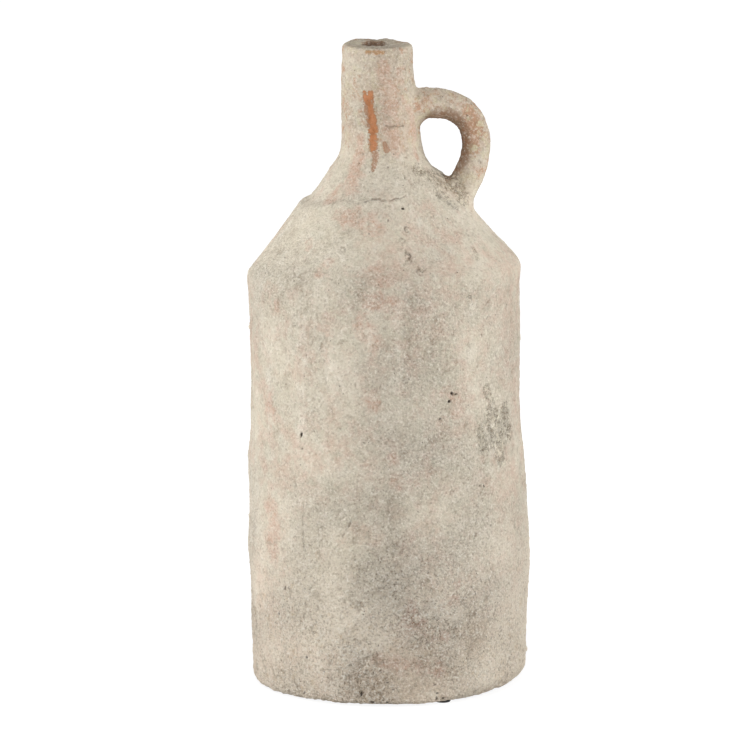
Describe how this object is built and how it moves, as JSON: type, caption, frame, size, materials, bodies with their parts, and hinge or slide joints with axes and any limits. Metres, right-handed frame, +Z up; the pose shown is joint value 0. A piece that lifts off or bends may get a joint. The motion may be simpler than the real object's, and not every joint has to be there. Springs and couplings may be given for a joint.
{
  "type": "earthenware bottle jug",
  "caption": "Tall hand-built earthenware bottle jug with a cylindrical body, sloping shoulder, narrow neck, thick lip and a loop handle beside the neck.",
  "frame": {"origin": "on the surface that the jug stands on, below the middle of its foot", "axes": "+Z up, +X towards the handle, -Y towards the picture's camera"},
  "size_m": [0.1749, 0.1746, 0.4],
  "materials": {
    "limewashed_clay": "matt, sandy lime wash over terracotta",
    "felt": "black felt"
  },
  "bodies": {
    "root": {"base_slab": "limewashed_clay", "lower_wall": "limewashed_clay", "upper_wall": "limewashed_clay", "shoulder_cone": "limewashed_clay", "neck_collar": "limewashed_clay", "neck_tube": "limewashed_clay", "rim_lip": "limewashed_clay", "handle_loop": "limewashed_clay", "handle_upper_lute": "limewashed_clay", "handle_lower_lute": "limewashed_clay", "felt_pad_1": "felt", "felt_pad_2": "felt", "felt_pad_3": "felt"}
  },
  "joints": []
}
